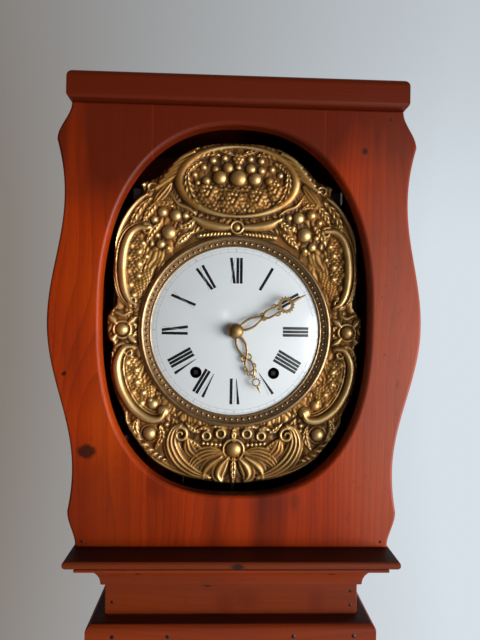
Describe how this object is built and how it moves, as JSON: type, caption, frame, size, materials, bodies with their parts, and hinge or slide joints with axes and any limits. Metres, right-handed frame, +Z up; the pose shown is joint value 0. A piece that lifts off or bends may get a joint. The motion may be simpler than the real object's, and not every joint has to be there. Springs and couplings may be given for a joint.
{
  "type": "comtoise long-case clock",
  "caption": "Tall stained-pine long-case clock with a wavy hood front, pressed brass surround, convex enamel dial, pierced hands, weights, pendulum and striking movement behind a trunk door.",
  "frame": {"origin": "middle of the footprint on the floor", "axes": "+Z up, the dial faces -Y, +X to the right as seen from the front"},
  "size_m": [0.485, 0.28, 2.25],
  "materials": {
    "stained_pine": "red-orange stained pine with worn varnish",
    "moulding_pine": "duller red-brown stained pine",
    "aged_brass": "pressed and cast brass, aged",
    "gilt_brass": "gilt brass",
    "iron": "dark wrought and cast iron",
    "steel": "worked steel",
    "cord": "twisted gut line",
    "enamel": "white vitreous enamel",
    "glass": "clear window glass"
  },
  "bodies": {
    "case": {"hood_front_board": "stained_pine", "hood_top_board": "stained_pine", "hood_sides": "stained_pine", "hood_back_board": "stained_pine", "hood_shelf": "stained_pine", "cove_moulding": "moulding_pine", "neck_front_board": "moulding_pine", "trunk_collar": "moulding_pine", "trunk_sides": "stained_pine", "trunk_back_board": "stained_pine", "trunk_front_frame": "stained_pine", "base_moulding": "moulding_pine", "base_front_panel": "stained_pine", "base_sides": "stained_pine", "base_floor": "stained_pine", "plinth": "moulding_pine", "seat_board": "stained_pine", "frame_hinge_leaves": "aged_brass", "dial_plate": "iron", "brass_surround": "aged_brass", "bezel": "aged_brass", "enamel_dial": "enamel", "cage_plates": "iron", "cage_pillars": "iron", "front_bars": "iron", "rear_bars": "iron", "anchor_cock": "aged_brass", "suspension_cock": "iron", "bell": "gilt_brass", "bell_stand": "iron", "going_line": "cord", "strike_line": "cord"},
    "door": {"trunk_door": "stained_pine", "door_glass": "glass", "glass_bezel": "aged_brass", "door_hinge_leaves": "aged_brass"},
    "latch": {"door_knob": "aged_brass", "latch_tongue": "iron"},
    "minute": {"minute_hand": "gilt_brass", "hand_boss": "gilt_brass", "cannon_wheel": "aged_brass"},
    "hour": {"hour_hand": "gilt_brass", "hour_wheel": "aged_brass"},
    "second_arbor": {"second_wheel": "aged_brass"},
    "third_arbor": {"third_wheel": "aged_brass"},
    "escape_arbor": {"escape_wheel": "aged_brass"},
    "going_great": {"going_great_wheel": "aged_brass"},
    "anchor_arbor": {"anchor": "steel"},
    "pendulum": {"pendulum_rod": "steel", "pendulum_bob": "aged_brass", "rating_nut": "aged_brass"},
    "going_drum": {"going_barrel": "steel"},
    "strike_drum": {"strike_barrel": "steel"},
    "going_load": {"going_weight": "iron"},
    "strike_load": {"strike_weight": "iron"},
    "strike_great": {"strike_great_wheel": "aged_brass"},
    "pin_arbor": {"pin_wheel": "aged_brass"},
    "fly_arbor": {"fly": "steel"},
    "hammer_arm": {"hammer": "iron"}
  },
  "joints": [
    {"name": "door_open", "type": "hinge", "parent": "case", "child": "door", "pos_m": [-0.114, -0.1104, 0.975], "axis": [0, 0, -1], "range_deg": [0, 110]},
    {"name": "latch_turn", "type": "hinge", "parent": "door", "child": "latch", "pos_m": [0.091, -0.106, 1.015], "axis": [0, 1, 0], "range_deg": [0, 90]},
    {"name": "minute_turn", "type": "hinge", "parent": "case", "child": "minute", "pos_m": [0, 0, 1.92], "axis": [0, 1, 0], "continuous": true},
    {"name": "hour_turn", "type": "hinge", "parent": "case", "child": "hour", "pos_m": [0, 0, 1.92], "axis": [0, 1, 0], "continuous": true},
    {"name": "second_turn", "type": "hinge", "parent": "case", "child": "second_arbor", "pos_m": [0.02076, 0, 1.91132], "axis": [0, 1, 0], "continuous": true},
    {"name": "third_turn", "type": "hinge", "parent": "case", "child": "third_arbor", "pos_m": [0.02552, 0, 1.94296], "axis": [0, 1, 0], "continuous": true},
    {"name": "escape_turn", "type": "hinge", "parent": "case", "child": "escape_arbor", "pos_m": [0, 0, 1.938], "axis": [0, 1, 0], "continuous": true},
    {"name": "great_turn", "type": "hinge", "parent": "case", "child": "going_great", "pos_m": [0.052, 0, 1.864], "axis": [0, 1, 0], "continuous": true},
    {"name": "pendulum_swing", "type": "hinge", "parent": "case", "child": "pendulum", "pos_m": [0, -0.0435, 1.908], "axis": [0, 1, 0], "range_deg": [-3, 3]},
    {"name": "anchor_rock", "type": "hinge", "parent": "case", "child": "anchor_arbor", "pos_m": [0, 0, 1.908], "axis": [0, 1, 0], "range_deg": [-3, 3]},
    {"name": "going_wind", "type": "slide", "parent": "case", "child": "going_load", "axis": [0, 0, 1], "range_m": [0, 0.85], "deforming": ["going_line"]},
    {"name": "going_barrel_turn", "type": "hinge", "parent": "case", "child": "going_drum", "pos_m": [0.052, 0, 1.864], "axis": [0, 1, 0], "range_deg": [-2321, 0]},
    {"name": "strike_wind", "type": "slide", "parent": "case", "child": "strike_load", "axis": [0, 0, 1], "range_m": [0, 0.85], "deforming": ["strike_line"]},
    {"name": "strike_barrel_turn", "type": "hinge", "parent": "case", "child": "strike_drum", "pos_m": [-0.052, 0, 1.864], "axis": [0, 1, 0], "range_deg": [0, 2321]},
    {"name": "strike_great_turn", "type": "hinge", "parent": "case", "child": "strike_great", "pos_m": [-0.052, 0, 1.864], "axis": [0, 1, 0], "continuous": true},
    {"name": "pin_turn", "type": "hinge", "parent": "case", "child": "pin_arbor", "pos_m": [-0.0667, 0, 1.91876], "axis": [0, 1, 0], "continuous": true},
    {"name": "fly_turn", "type": "hinge", "parent": "case", "child": "fly_arbor", "pos_m": [-0.0667, 0, 1.94276], "axis": [0, 1, 0], "continuous": true},
    {"name": "hammer_lift", "type": "hinge", "parent": "case", "child": "hammer_arm", "pos_m": [-0.098, 0, 1.915], "axis": [0, -1, 0], "range_deg": [0, 12], "stiffness_Nm_per_rad": 0.6, "springref_deg": -4.58}
  ],
  "couplings": [
    {"joint": "hour_turn", "follows": "minute_turn", "ratio": 0.083333},
    {"joint": "second_turn", "follows": "minute_turn", "ratio": -0.33333},
    {"joint": "third_turn", "follows": "minute_turn", "ratio": 5},
    {"joint": "escape_turn", "follows": "minute_turn", "ratio": -60},
    {"joint": "great_turn", "follows": "minute_turn", "ratio": 0.041667},
    {"joint": "anchor_rock", "follows": "pendulum_swing", "ratio": 1},
    {"joint": "going_barrel_turn", "follows": "going_wind", "rad_per_m": -47.619},
    {"joint": "strike_barrel_turn", "follows": "strike_wind", "rad_per_m": 47.619},
    {"joint": "pin_turn", "follows": "strike_great_turn", "ratio": -8},
    {"joint": "fly_turn", "follows": "strike_great_turn", "ratio": 72}
  ]
}
